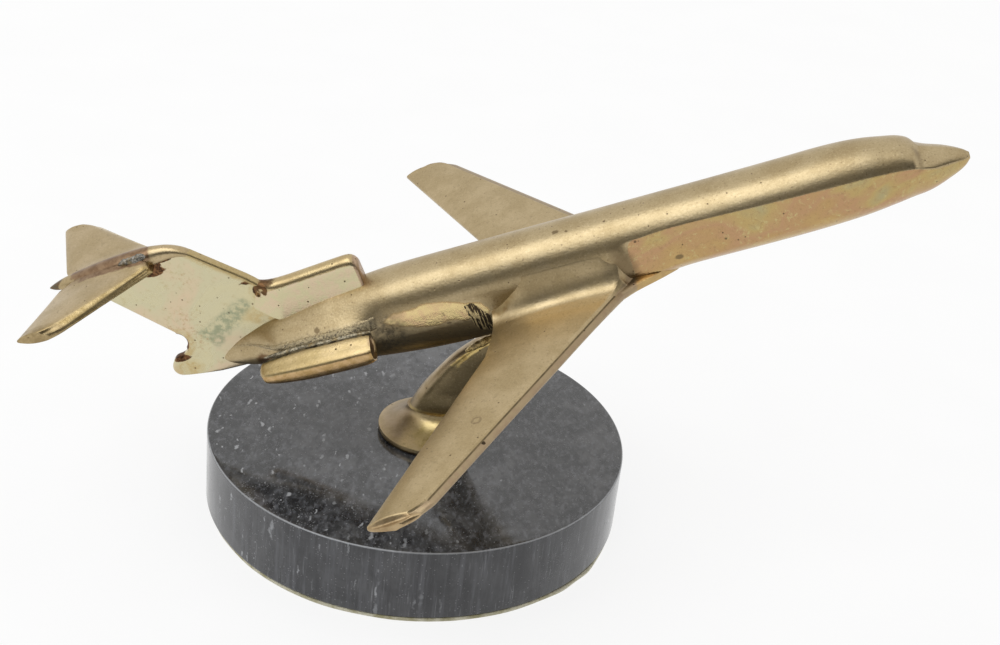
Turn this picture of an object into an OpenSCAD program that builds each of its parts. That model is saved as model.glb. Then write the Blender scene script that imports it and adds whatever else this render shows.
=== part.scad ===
// Desktop airliner model: a cast brass trijet airliner, brazed to a raked stem and a
// flared foot, bolted through a round marble base with a card glued underneath.
// Millimetres, +Z up, +X is the way the nose points, +Y is the port side.
// The origin is the centre of the card's underside.

/* [Base] */
// Diameter of the marble disc
base_d = 114; // [104:1:124]
// Thickness of the marble disc
base_t = 20; // [17:1:26]
// Thickness of the card glued under the marble
card_t = 1; // [0.6:0.1:2]
// How far in front of the disc's centre the foot is bolted
foot_x = 3.8; // [0:0.1:8]

/* [Attitude] */
// Nose-up angle of the airliner
pitch = 23.1; // [19:0.1:26]
// Roll of the airliner on its stem, port wing high
bank = 7.6; // [0:0.1:9]
// Height of the airliner's datum above the marble
datum_h = 57.2; // [55:0.1:59]
// Distance of the airliner's datum in front of the foot
datum_x = 28.7; // [27:0.1:30]

/* [Fuselage] */
// Half the distance from the nose tip to the tail cone's end
half_len = 104.3; // [102:0.1:108]
// Radius of the cabin
cabin_r = 10; // [9.4:0.1:10.6]
// Depth of the belly under the cabin's centre line at the wing
belly_depth = 14.6; // [13:0.1:16]

/* [Wing] */
// Distance from the centre line to the tip of the wing's upper skin
wing_half = 78.7; // [70:0.1:84]
// Sweep of the leading edge
wing_sweep = 37.3; // [34:0.1:40]
// Sweep of the trailing edge outboard of its kink
wing_te_sweep = 26.7; // [24:0.1:29]
// Width of the ledge in front of the wing's upper skin
ledge_w = 2; // [1.4:0.1:2.6]
// Height of the step from the upper skin down to the ledge
ledge_step = 0.6; // [0.3:0.1:1]

/* [Tail] */
// Thickness of the fin plate
fin_t = 3; // [2.6:0.1:3.6]
// Thickness of the centre intake's fairing
intake_t = 5; // [4.4:0.1:5.6]
// Distance from the centre line to the tailplane's tip
tail_half = 25.4; // [22:0.1:28]
// Radius of a nacelle
nacelle_r = 4.3; // [3.8:0.1:4.6]

/* [Stand] */
// Radius of the foot's rim
foot_r = 14.6; // [13:0.1:16]
// Height of the foot's collar above the marble
foot_h = 8; // [7:0.1:9]
// Diameter of the stud that holds the foot down
stud_d = 6; // [5:0.5:6]

/* [Hidden] */

top_z = card_t + base_t;
rim_gap = 0.1;           // the foot turns on the marble with this clearance
bore_clear = 0.07;       // radial clearance of the stud in the marble
counterbore_r = 11.5;
counterbore_h = 9;
washer_r = 8.5;
washer_t = 1.2;
nut_af = 10;             // across the nut's flats
nut_h = 5;
base_r = base_d / 2;
seat_z = card_t + counterbore_h;
// the datum moves sideways so that the airliner's own plane runs through the foot
datum_y = tan(bank) * (datum_x * sin(pitch) - datum_h * cos(pitch));
side_n = 44;             // points round a fuselage section
EPS = 0.01;

// ---- shared helpers ----
function mix(a, b, t) = a + (b - a) * t;
function clamp01(t) = min(1, max(0, t));
function smooth(t) = let(c = clamp01(t)) c * c * (3 - 2 * c);
function signed_pow(v, p) = sign(v) * pow(abs(v), p);

// a smooth curve through a short list of [key, value] pairs (Catmull-Rom)
function seg_of(k, keys, i = 0) =
    i >= len(keys) - 2 || k < keys[i + 1][0] ? i : seg_of(k, keys, i + 1);
function curve(k, keys) =
    let (i = seg_of(k, keys),
         n = len(keys) - 1,
         p0 = keys[max(0, i - 1)], p1 = keys[i], p2 = keys[i + 1], p3 = keys[min(n, i + 2)],
         d = p2[0] - p1[0],
         t = clamp01((k - p1[0]) / d),
         m1 = (p2[1] - p0[1]) / (p2[0] - p0[0]) * d,
         m2 = (p3[1] - p1[1]) / (p3[0] - p1[0]) * d,
         t2 = t * t, t3 = t2 * t)
    (2 * t3 - 3 * t2 + 1) * p1[1] + (t3 - 2 * t2 + t) * m1
    + (3 * t2 - 2 * t3) * p2[1] + (t3 - t2) * m2;

// a closed skin over rings that all have the same number of points
module loft(rings) {
    n = len(rings[0]);
    m = len(rings);
    polyhedron(
        points = [for (r = rings) for (p = r) p],
        faces = concat(
            [[for (j = [0:n - 1]) j]],
            [for (i = [0:m - 2]) for (j = [0:n - 1])
                let (a = i * n + j, b = i * n + (j + 1) % n) [a, a + n, b]],
            [for (i = [0:m - 2]) for (j = [0:n - 1])
                let (a = i * n + j, b = i * n + (j + 1) % n) [a + n, b + n, b]],
            [[for (j = [0:n - 1]) (m - 1) * n + n - 1 - j]]));
}

// a lumpy bead of metal along a crease, from a point on through a run of points forward
module bead(points, r, lump) {
    last = len(points) - 1;
    loft([for (i = [0:last])
        let (size = (r + lump * sin(137 * i)) * pow(max(0.02, sin(180 * i / last)), 0.35))
        [for (j = [0:11]) points[i] + size * [0, cos(30 * j), sin(30 * j)]]]);
}

// puts a module drawn about the airliner's datum where the stem holds it
module airborne() {
    translate([foot_x + datum_x, datum_y, top_z + datum_h])
        rotate([bank, -pitch, 0])
            children();
}

// ---- base ----
module marble_base() {
    edge = 0.8;
    color("dimgray")
        difference() {
            rotate_extrude($fn = 180)
                polygon([[0, card_t], [base_r - edge, card_t], [base_r, card_t + edge],
                         [base_r, top_z - edge], [base_r - edge, top_z], [0, top_z]]);
            translate([foot_x, 0, 0])
                cylinder(r = stud_d / 2 + bore_clear, h = top_z + 1, $fn = 48);
            translate([foot_x, 0, card_t - 1])
                cylinder(r = counterbore_r, h = counterbore_h + 1, $fn = 96);
        }
}

// cut a little off the disc's centre, so it peeps out at the front right
module base_card() {
    color("tan")
        translate([0.9, -1.1, 0])
            cylinder(r = base_r - 0.3, h = card_t, $fn = 120);
}

// ---- stand ----
// half widths of the foot along X and Y at a height above the marble
function foot_flare(h) =
    let (t = clamp01((h - 2) / (foot_h - 2))) pow(1 - t, 2.1);
function foot_ring(h, inset) =
    let (f = foot_flare(h),
         rx = mix(8.8, foot_r, f) - inset,
         ry = mix(5.6, foot_r, f) - inset,
         cx = 1.6 * (1 - f))
    [for (j = [0:47]) let (a = 360 * j / 48) [cx + rx * cos(a), ry * sin(a), h]];

module foot() {
    rise = [for (h = [2.4:0.7:foot_h]) h];
    color("goldenrod")
        translate([foot_x, 0, top_z + rim_gap])
            difference() {
                loft(concat([foot_ring(0, 1.2), foot_ring(0.35, 0.3), foot_ring(1, 0),
                             foot_ring(1.9, 0)],
                            [for (h = rise) foot_ring(h, 0)],
                            [foot_ring(foot_h, 0)]));
                translate([0, 0, -1])
                    cylinder(d = stud_d, h = 7, $fn = 48);
            }
}

module stud() {
    color("silver")
        translate([foot_x, 0, card_t + 1])
            cylinder(d = stud_d, h = base_t + rim_gap + 5, $fn = 48);
}

module washer() {
    color("lightgray")
        translate([foot_x, 0, seat_z - rim_gap - washer_t])
            difference() {
                cylinder(r = washer_r, h = washer_t, $fn = 72);
                translate([0, 0, -1])
                    cylinder(d = stud_d + 0.4, h = washer_t + 2, $fn = 48);
            }
}

module nut() {
    color("gray")
        translate([foot_x, 0, seat_z - rim_gap - washer_t - nut_h])
            difference() {
                cylinder(d = nut_af / cos(30), h = nut_h, $fn = 6);
                translate([0, 0, -1])
                    cylinder(d = stud_d + 0.02, h = nut_h + 2, $fn = 48);
            }
}

// The stem is a blade.  Its rear and front edges are curves in the airliner's plane,
// given as [height above the marble, distance in front of the foot].
stem_rear = [[8, -6.6], [14, -3.9], [20, -0.2], [26, 4.1], [31, 9.1], [35, 15], [38, 20]];
stem_front = [[8, 9.6], [14, 12.4], [20, 15.6], [26, 19.2], [31, 22.8], [35, 26], [38, 29]];
stem_top = 41;

function stem_ring(h) =
    let (rear = curve(h, stem_rear), front = curve(h, stem_front),
         side = tan(bank) * (h - 4) * -0.93,
         half = mix(4.9, 3.6, smooth((h - foot_h) / 16)) + 1.6 * smooth((h - 30) / 10))
    [for (j = [0:39])
        let (a = 360 * j / 40,
             u = 0.5 + 0.5 * signed_pow(cos(a), 0.9),
             v = signed_pow(sin(a), 0.8))
        [mix(rear, front, u), side + half * v, h]];

module stem() {
    levels = [for (i = [0:16]) mix(foot_h, stem_top, i / 16)];
    color("darkkhaki")
        translate([foot_x, 0, top_z + rim_gap])
            loft([for (h = levels) stem_ring(h)]);
}

// bead of braze up the rear edge of the stem's head, a rough bright strip
module stem_braze() {
    color("gold")
        translate([foot_x, 0, top_z])
            bead([for (h = [29:0.8:38.6])
                     [curve(h, stem_rear) + 0.4, tan(bank) * (4 - h) * 0.93 - 2.4, h]],
                 1.4, 0.15);
}

// ---- fuselage ----
centre_z = [[-95, -1.4], [-87, -1.4], [-80, -1.2], [-70, -0.6], [-60, 0.2], [-45, 1],
            [-25, 1.4], [0, 1.5], [40, 1.8], [60, 2.1], [80, 2.3], [88, 1.9], [93, 1],
            [100, 0.9], [104.8, 0.7]];
half_w = [[-95, 0.6], [-92, 1.9], [-87, 3.6], [-80, 5.5], [-70, 7.5], [-60, 8.9],
          [-45, 9.8], [-25, 10], [60, 10], [72, 9.8], [80, 9.2], [88, 7.9], [93, 6.6],
          [97, 5.3], [101, 3.6], [103.5, 2.2], [104.8, 1]];
top_h = [[-95, 0.5], [-92, 2.3], [-87, 4.9], [-80, 6.6], [-70, 8.2], [-60, 9.2],
         [-45, 9.9], [-25, 10], [60, 10.1], [72, 10.1], [80, 9.6], [88, 8.3], [90.5, 7.6],
         [93.5, 5.4], [97, 4.5], [101, 3.1], [103.5, 1.9], [104.8, 0.9]];
low_h = [[-95, 0.6], [-92, 2.6], [-87, 4.2], [-80, 5.8], [-70, 8.6], [-60, 10.9], [-50, 12.6],
         [-38, belly_depth - 0.6], [-25, belly_depth], [8, belly_depth],
         [18, belly_depth - 2.2], [28, 10.2], [36, 9.8], [60, 10], [72, 9.8], [80, 9.2],
         [88, 7.8], [93, 6.8], [97, 5.6], [101, 4], [103.5, 2.5], [104.8, 1.1]];
// squareness of the lower half: 2 is an ellipse
low_pow = [[-90, 2], [-60, 2.3], [-38, 2.7], [8, 2.7], [28, 2.1], [40, 2], [90, 2]];

function fuselage_ring(x) =
    let (k = x / half_len * 104.8,
         g = cabin_r / 10,
         zc = curve(k, centre_z), w = g * curve(k, half_w),
         up = g * curve(k, top_h), dn = g * curve(k, low_h), e = curve(k, low_pow))
    [for (j = [0:side_n - 1])
        let (a = 360 * j / side_n, c = cos(a), s = sin(a))
        s >= 0 ? [x, w * c, zc + up * s]
               : [x, w * signed_pow(c, 2 / e), zc + dn * signed_pow(s, 2 / e)]];

module fuselage() {
    aft = [for (i = [0:17]) mix(-half_len + 10, -42, 1 - pow(1 - i / 17, 1.0))];
    mid = [for (x = [-36:6:78]) x];
    fore = [for (x = [81, 84, 87, 89, 90, 91, 92, 93, 94, 96, 98, 100, 102, 103.2, 104.2])
            x * half_len / 104.8];
    color("peru")
        airborne()
            loft([for (x = concat(aft, mid, fore, [half_len])) fuselage_ring(x)]);
}

// ---- wing ----
le_root = 23.9;          // where the skin's front edge would cross the centre line
te_root = -8.1;          // where the outboard trailing edge would cross it
shoulder_x = 15;         // square front end of the root fairing
tip_ledge = 2;         // how far the ledge runs out past the skin's tip
kink = 25;
glove = [[3, 33], [6.3, 29], [9.1, 24.2], [11.8, 19], [14.8, 14.9]];
inner_te = [[3, -18.4], [8, -18.5], [12, -18.8], [18, -19.4], [kink, -20.8]];

function skin_le(y) = min(shoulder_x, le_root - tan(wing_sweep) * y);
function ledge_le(y) =
    let (line = le_root + ledge_w / cos(wing_sweep) * 0.98 - tan(wing_sweep) * y,
         out = max(0, y - wing_half))
    y < 14.8 ? curve(y, glove) : line - 0.6 * out * out - 1.2 * smooth((y - wing_half + 3) / 3);
function wing_te(y) =
    y < kink ? curve(y, inner_te)
             : te_root - tan(wing_te_sweep) * y + 1.35 * pow(max(0, y - wing_half + 0.4), 2);
// height of the skin: u is 0 at the trailing edge and 1 at the front
function root_rise(y, u) = 5.6 * pow(clamp01((22 - y) / 12), 2.3) * mix(0.25, 1, smooth(u * 1.6));
function skin_z(y, u) = mix(-4.8, -3.1, u) + 0.75 * sin(180 * pow(u, 0.8)) + root_rise(y, u);
function wing_low(y) = -5.2 - 1.5 * pow(clamp01((30 - y) / 24), 2);

function wing_ring(y, side) =
    let (n = 9, te = wing_te(y), le = skin_le(y), out = ledge_le(y),
         on_skin = y <= wing_half,
         top = [for (i = [0:n]) let (u = i / n)
                [on_skin ? mix(te, le, u) : mix(te, out - 1.2, u * 0.9),
                 on_skin ? skin_z(y, u) : mix(-5.1, skin_z(wing_half, 0.97) - ledge_step, u)]],
         foot_z = min(top[n][1], -3.1) - (on_skin ? ledge_step : 0.1),
         edge = [[on_skin ? le + 0.05 : out - 1.1, foot_z],
                 [out, foot_z - 0.6], [out + 0.1, foot_z - 0.9], [out - 0.5, wing_low(y)]],
         under = [for (i = [1:6]) let (u = i / 6)
                  [mix(out - 0.5, te, u), mix(wing_low(y), -5.7, smooth(u))]])
    [for (p = concat(top, edge, under)) [p[0], side * y, p[1]]];

module wing(side) {
    span = concat([4, 7, 9, 10, 11, 12, 13, 14, 14.8, 16, 18, 20, 22, kink, 30, 36, 42],
                  [for (i = [0:7]) mix(48, wing_half - 0.8, i / 7)],
                  [for (t = [0, 0.03, 0.4, 0.7, 0.9, 1]) wing_half + tip_ledge * t]);
    rings = [for (y = span) wing_ring(y, side)];
    ordered = side > 0 ? rings : [for (i = [len(rings) - 1:-1:0]) rings[i]];
    airborne()
        loft(ordered);
}

module starboard_wing() {
    color("khaki")
        wing(-1);
}

module port_wing() {
    color("palegoldenrod")
        wing(1);
}

// ---- tail ----
intake_back = -73.6;
intake_front = -48.8;
intake_rise = 3.1;        // slope of its rounded top

fin_le_low = [-77.8, 19];
fin_le_high = [-90.2, 31.5];

// flat plate: fin, notch and the blunt tail cone below it
module fin_outline() {
    difference() {
        polygon([[intake_back, 17.4], fin_le_low, fin_le_high, [-92, 33],
                 [-119.6, 30.9], [-102.4, 10.6], [-101.4, 3.2], [-104.6, 2.5],
                 [-107, 0.8], [-107.6, -1], [-107, -2.6], [-105.2, -3.6],
                 [-95, -5.1], [-84, -5.3], [-76, 0], [intake_back, 4]]);
        translate([-103.2, 6.9])
            circle(r = 2.9, $fn = 36);
    }
}

module tail_fin() {
    run = fin_le_high - fin_le_low;
    color("lightgoldenrodyellow")
        airborne() {
            rotate([90, 0, 0])
                translate([0, 0, -fin_t / 2])
                    linear_extrude(fin_t)
                        fin_outline();
            // rounded leading edge
            translate([fin_le_low[0], 0, fin_le_low[1]])
                rotate([0, atan2(run[0], run[1]), 0])
                    cylinder(d = fin_t - 0.1, h = norm(run), $fn = 40);
        }
}

module centre_intake() {
    r = intake_t / 2;
    top = 18.6 - r;
    color("wheat")
        airborne() {
            rotate([90, 0, 0])
                translate([0, 0, -r])
                    linear_extrude(intake_t)
                        polygon([[intake_back, 5], [intake_back, 17.3 - r],
                                 [intake_front - 2.6, top], [intake_front, top - 2.2],
                                 [intake_front, 8]]);
            intersection() {
                translate([intake_back, 0, 17.3 - r])
                    rotate([0, 90 - intake_rise, 0])
                        cylinder(r = r, h = 26, $fn = 48);
                translate([intake_back, -r - 2, 0])
                    cube([intake_front - intake_back, intake_t + 4, 30]);
            }
        }
}

// the small plug in the scorched spot where fin and intake meet
module fin_pin() {
    color("saddlebrown")
        airborne()
            translate([-76.4, 0, 15])
                rotate([90, 0, 0])
                    cylinder(r = 0.9, h = fin_t + 0.5, center = true, $fn = 32);
}

tail_le = -94.4;
tail_te = -121.4;
tail_sweep = 46.2;
bullet_top = [[-92, 34], [-95, 35.5], [-101, 36], [-110, 35.5], [-118, 34.5],
              [-123, 33.7], [-126, 32.9], [-127.6, 32.3]];
bullet_low = [[-92, 32.4], [-95, 31.4], [-101, 30.6], [-110, 30.4], [-118, 30.4],
              [-123, 30.8], [-126, 31.3], [-127.6, 31.9]];
bullet_half = [[-92, 0.9], [-95, 1.9], [-101, 2.7], [-110, 3], [-118, 2.7],
               [-123, 2], [-126, 1.2], [-127.6, 0.3]];

function tail_ring(y) =
    let (h = abs(y),
         le = min(-99, tail_le - tan(tail_sweep) * h) - 1.2 * pow(clamp01((h - tail_half + 2) / 2), 2),
         te = tail_te - 0.29 * h + 0.9 * smooth((5 - h) / 5),
         z = 32.5 + 0.055 * h,
         t = mix(2.3, 2.2, h / tail_half),
         lip = 1.3 * h / tail_half)
    [[te, y, z + 0.2], [mix(te, le, 0.3), y, z + 0.9], [mix(te, le, 0.6), y, z + 1],
     [mix(te, le, 0.85), y, z + 0.8], [le - 0.2, y, z + 0.1], [le + lip, y, z - 0.9],
     [le + lip - 0.5, y, z + 0.2 - t], [mix(te, le, 0.5), y, z + 0.3 - t], [te, y, z - 0.7]];

function bullet_ring(x) =
    let (hi = curve(x, bullet_top), lo = curve(x, bullet_low), w = curve(x, bullet_half))
    [for (j = [0:23]) let (a = 360 * j / 24)
        [x, w * cos(a), (hi + lo) / 2 + (hi - lo) / 2 * sin(a)]];

module tailplane() {
    color("burlywood")
        airborne()
            difference() {
                union() {
                    loft([for (i = [-12:12]) tail_ring(tail_half * sin(90 * i / 12))]);
                    loft([for (x = [-127.6, -127.1, -126, -124, -121, -117, -112, -107, -102,
                                    -99, -96.5, -95, -93.5, -92]) bullet_ring(x)]);
                }
                // slot that drops over the top of the fin plate
                translate([-125, -fin_t / 2, 25])
                    cube([40, fin_t, 8]);
            }
}

// filler left in the crease on top of the tailplane
module tailplane_braze() {
    color("slategray")
        airborne()
            bead([for (x = [-106.6:0.8:-98.6]) [x, -1.7 + 0.12 * (x + 100), 34.6]], 1.3, 0.2);
}

// ---- engines on the flanks ----
nacelle_y = 13.8;
nacelle_z = -0.6;
nacelle_size = [[-80.6, 0.30], [-79.8, 0.55], [-78, 0.72], [-74, 0.86], [-68, 0.97],
                [-60, 1], [-54, 0.98], [-51, 0.92], [-49.9, 0.84]];

function nacelle_ring(x, side) =
    let (s = nacelle_r * curve(x, nacelle_size), drop = 0.035 * (x + 65))
    [for (j = [0:31])
        let (a = 360 * j / 32, c = cos(a), v = sin(a))
        [x, side * (nacelle_y + s * c), nacelle_z - drop * 0.4
            + s * (v > 0 ? 0.86 * signed_pow(v, 0.9) : v)]];

module nacelle(side) {
    xs = [-80.6, -80.2, -79.4, -78, -75, -71, -66, -61, -56, -53, -51, -50.2, -49.9];
    rings = [for (x = xs) nacelle_ring(x, side)];
    ordered = side > 0 ? rings : [for (r = rings) [for (j = [len(r) - 1:-1:0]) r[j]]];
    airborne()
        difference() {
            loft(ordered);
            // shallow inlet
            translate([-50.8, side * nacelle_y, nacelle_z + 0.1])
                rotate([0, 90, 0])
                    cylinder(r = nacelle_r * 0.62, h = 2, $fn = 40);
        }
}

module starboard_nacelle() {
    color("orange")
        nacelle(-1);
}

module port_nacelle() {
    color("darkorange")
        nacelle(1);
}

// lumpy solder that fills the crease above each nacelle
module nacelle_solder() {
    color("lightsteelblue")
        airborne()
            for (side = [-1, 1])
                bead([for (x = [-79:1.5:-49]) [x, side * (10.4 + 0.09 * (x + 51.5)),
                                              2 + 0.03 * (x + 51.5)]], 1.45, 0.25);
}

marble_base();
base_card();
foot();
stud();
washer();
nut();
stem();
stem_braze();
fuselage();
starboard_wing();
port_wing();
tail_fin();
centre_intake();
fin_pin();
tailplane();
tailplane_braze();
starboard_nacelle();
port_nacelle();
nacelle_solder();
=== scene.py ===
"""Desktop airliner model: a cast brass trijet on a raked stem, bolted to a marble disc.

Shapes are worked out in millimetres.  The airliner's pieces are drawn in its own frame
(+X to the nose, +Y to port, +Z up) and put where the stem holds them.
"""

import math

import bmesh
import bpy
import numpy as np
from mathutils import Matrix, Vector, noise


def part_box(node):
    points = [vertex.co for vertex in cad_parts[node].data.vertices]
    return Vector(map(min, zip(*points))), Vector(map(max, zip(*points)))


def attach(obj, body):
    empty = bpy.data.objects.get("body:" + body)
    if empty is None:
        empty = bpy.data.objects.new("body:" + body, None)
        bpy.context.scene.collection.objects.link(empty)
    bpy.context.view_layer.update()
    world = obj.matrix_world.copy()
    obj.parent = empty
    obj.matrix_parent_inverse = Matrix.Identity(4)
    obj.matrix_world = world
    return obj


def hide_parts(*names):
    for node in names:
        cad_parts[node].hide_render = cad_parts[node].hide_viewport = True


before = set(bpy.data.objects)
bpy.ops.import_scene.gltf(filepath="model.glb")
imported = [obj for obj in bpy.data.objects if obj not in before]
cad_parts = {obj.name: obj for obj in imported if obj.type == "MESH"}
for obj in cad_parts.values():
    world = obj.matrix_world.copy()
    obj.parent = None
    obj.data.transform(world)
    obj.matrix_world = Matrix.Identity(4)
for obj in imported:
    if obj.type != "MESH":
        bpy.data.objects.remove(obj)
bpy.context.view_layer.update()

MM = 0.001

# ---- places from the frame
TOP_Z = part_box("marble_base")[1].z / MM
BASE_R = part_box("marble_base")[1].x / MM
CARD_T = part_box("base_card")[1].z / MM
FOOT_X = sum(c.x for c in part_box("foot")) / 2 / MM
FOOT_R = (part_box("foot")[1].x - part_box("foot")[0].x) / 2 / MM
RIM_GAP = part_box("foot")[0].z / MM - TOP_Z
PITCH, BANK = math.radians(23.1), math.radians(7.6)
DATUM_AHEAD, DATUM_UP = 28.7, 57.2
DATUM_SIDE = math.tan(BANK) * (DATUM_AHEAD * math.sin(PITCH) - DATUM_UP * math.cos(PITCH))
AIRBORNE = (
    Matrix.Translation(Vector((FOOT_X + DATUM_AHEAD, DATUM_SIDE, TOP_Z + DATUM_UP)) * MM)
    @ Matrix.Rotation(-PITCH, 4, "Y")
    @ Matrix.Rotation(BANK, 4, "X")
)
STANDING = Matrix.Identity(4)


# ---- curves
def mix(a, b, t):
    return a + (b - a) * t


def smooth(t):
    t = np.clip(t, 0, 1)
    return t * t * (3 - 2 * t)


def signed_pow(v, p):
    return np.sign(v) * np.abs(v) ** p


def curve(k, keys):
    """A smooth curve through a short list of (key, value) pairs."""
    k = np.asarray(k, float)
    xs, ys = np.array(keys, float).T
    i = np.clip(np.searchsorted(xs, k, side="right") - 1, 0, len(xs) - 2)
    before, after = np.maximum(i - 1, 0), np.minimum(i + 2, len(xs) - 1)
    d = xs[i + 1] - xs[i]
    t = np.clip((k - xs[i]) / d, 0, 1)
    m1 = (ys[i + 1] - ys[before]) / (xs[i + 1] - xs[before]) * d
    m2 = (ys[after] - ys[i]) / (xs[after] - xs[i]) * d
    return ((2 * t**3 - 3 * t**2 + 1) * ys[i] + (t**3 - 2 * t**2 + t) * m1
            + (3 * t**2 - 2 * t**3) * ys[i + 1] + (t**3 - t**2) * m2)


def closed_spline(rings, count):
    """Each ring of corner points turned into a smooth closed loop of count points."""
    n = rings.shape[1]
    s = np.arange(count) * n / count
    i, t = s.astype(int), (s % 1)[None, :, None]
    p0, p1, p2, p3 = (rings[:, (i + k) % n] for k in (-1, 0, 1, 2))
    return 0.5 * (2 * p1 + (p2 - p0) * t + (2 * p0 - 5 * p1 + 4 * p2 - p3) * t**2
                  + (3 * p1 - p0 - 3 * p2 + p3) * t**3)


def inside(x, z, outline):
    """How far each point (x, z) lies inside an outline, in millimetres; below 0 is outside."""
    pts = np.array(outline, float)
    away = np.full(np.shape(x), 1e9)
    crossings = np.zeros(np.shape(x), int)
    for (ax, az), (bx, bz) in zip(pts, np.roll(pts, -1, axis=0)):
        t = np.clip(((x - ax) * (bx - ax) + (z - az) * (bz - az))
                    / ((bx - ax) ** 2 + (bz - az) ** 2), 0, 1)
        away = np.minimum(away, np.hypot(x - mix(ax, bx, t), z - mix(az, bz, t)))
        if az != bz:
            spans = (az > z) != (bz > z)
            crossings += spans & (x < ax + (z - az) / (bz - az) * (bx - ax))
    return np.where(crossings % 2 == 1, away, -away)


def near(points, centre, radii):
    """1 at the centre of a soft ellipsoid, 0 on it and below 0 outside."""
    return 1 - np.linalg.norm((points - np.array(centre)) / np.array(radii), axis=-1)


def angles(count):
    """The angles of count points spread round a circle."""
    return np.arange(count) * 2 * math.pi / count


def columns(table):
    """A table of (key, value, value, ...) as one list of pairs for each column of values."""
    keys, *values = zip(*table)
    return [list(zip(keys, column)) for column in values]


def lumps(points, size, seed=0.0):
    """Soft random heights from -1 to 1 with lumps of about this size."""
    off = Vector((seed * 17.1, seed * 5.3, seed * 9.7))
    return np.array([noise.noise(Vector(p) / size + off) for p in points])


# ---- meshes
def skin(rings, caps=True, loop=False):
    """Points and faces of a closed skin over rings that have the same number of points."""
    m, n = rings.shape[:2]
    points = rings.reshape(-1, 3)
    rows = m if loop else m - 1
    faces = []
    for i in range(rows):
        a, b = i * n, (i + 1) % m * n
        faces += [(a + j, a + (j + 1) % n, b + (j + 1) % n, b + j) for j in range(n)]
    if caps and not loop:
        middles = np.array([rings[0].mean(0), rings[-1].mean(0)])
        first, last = len(points), len(points) + 1
        points = np.vstack([points, middles])
        faces += [(first, (j + 1) % n, j) for j in range(n)]
        end = (m - 1) * n
        faces += [(last, end + j, end + (j + 1) % n) for j in range(n)]
    return points, faces


def join(*skins):
    """Several skins as one mesh."""
    points, faces, count = [], [], 0
    for p, f in skins:
        points.append(p)
        faces += [tuple(k + count for k in face) for face in f]
        count += len(p)
    return np.vstack(points), faces


def piece(name, shape, material, nodes, fields=None, crease=38, place=AIRBORNE,
          body="airliner"):
    """A finished mesh object that stands for CAD nodes and rides on a body."""
    points, faces = shape
    turn = np.array(place)
    mesh = bpy.data.meshes.new(name)
    mesh.from_pydata((points * MM @ turn[:3, :3].T + turn[:3, 3]).tolist(), [], faces)
    bm = bmesh.new()
    bm.from_mesh(mesh)
    bmesh.ops.recalc_face_normals(bm, faces=bm.faces[:])
    bm.to_mesh(mesh)
    bm.free()
    for key, values in (fields or {}).items():
        layer = mesh.attributes.new(key, "FLOAT", "POINT")
        layer.data.foreach_set("value", np.asarray(values, np.float32))
    mesh.shade_smooth()
    mesh.set_sharp_from_angle(angle=math.radians(crease))
    mesh.materials.append(material)
    obj = bpy.data.objects.new(name, mesh)
    bpy.context.scene.collection.objects.link(obj)
    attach(obj, body)
    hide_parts(*nodes)


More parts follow.
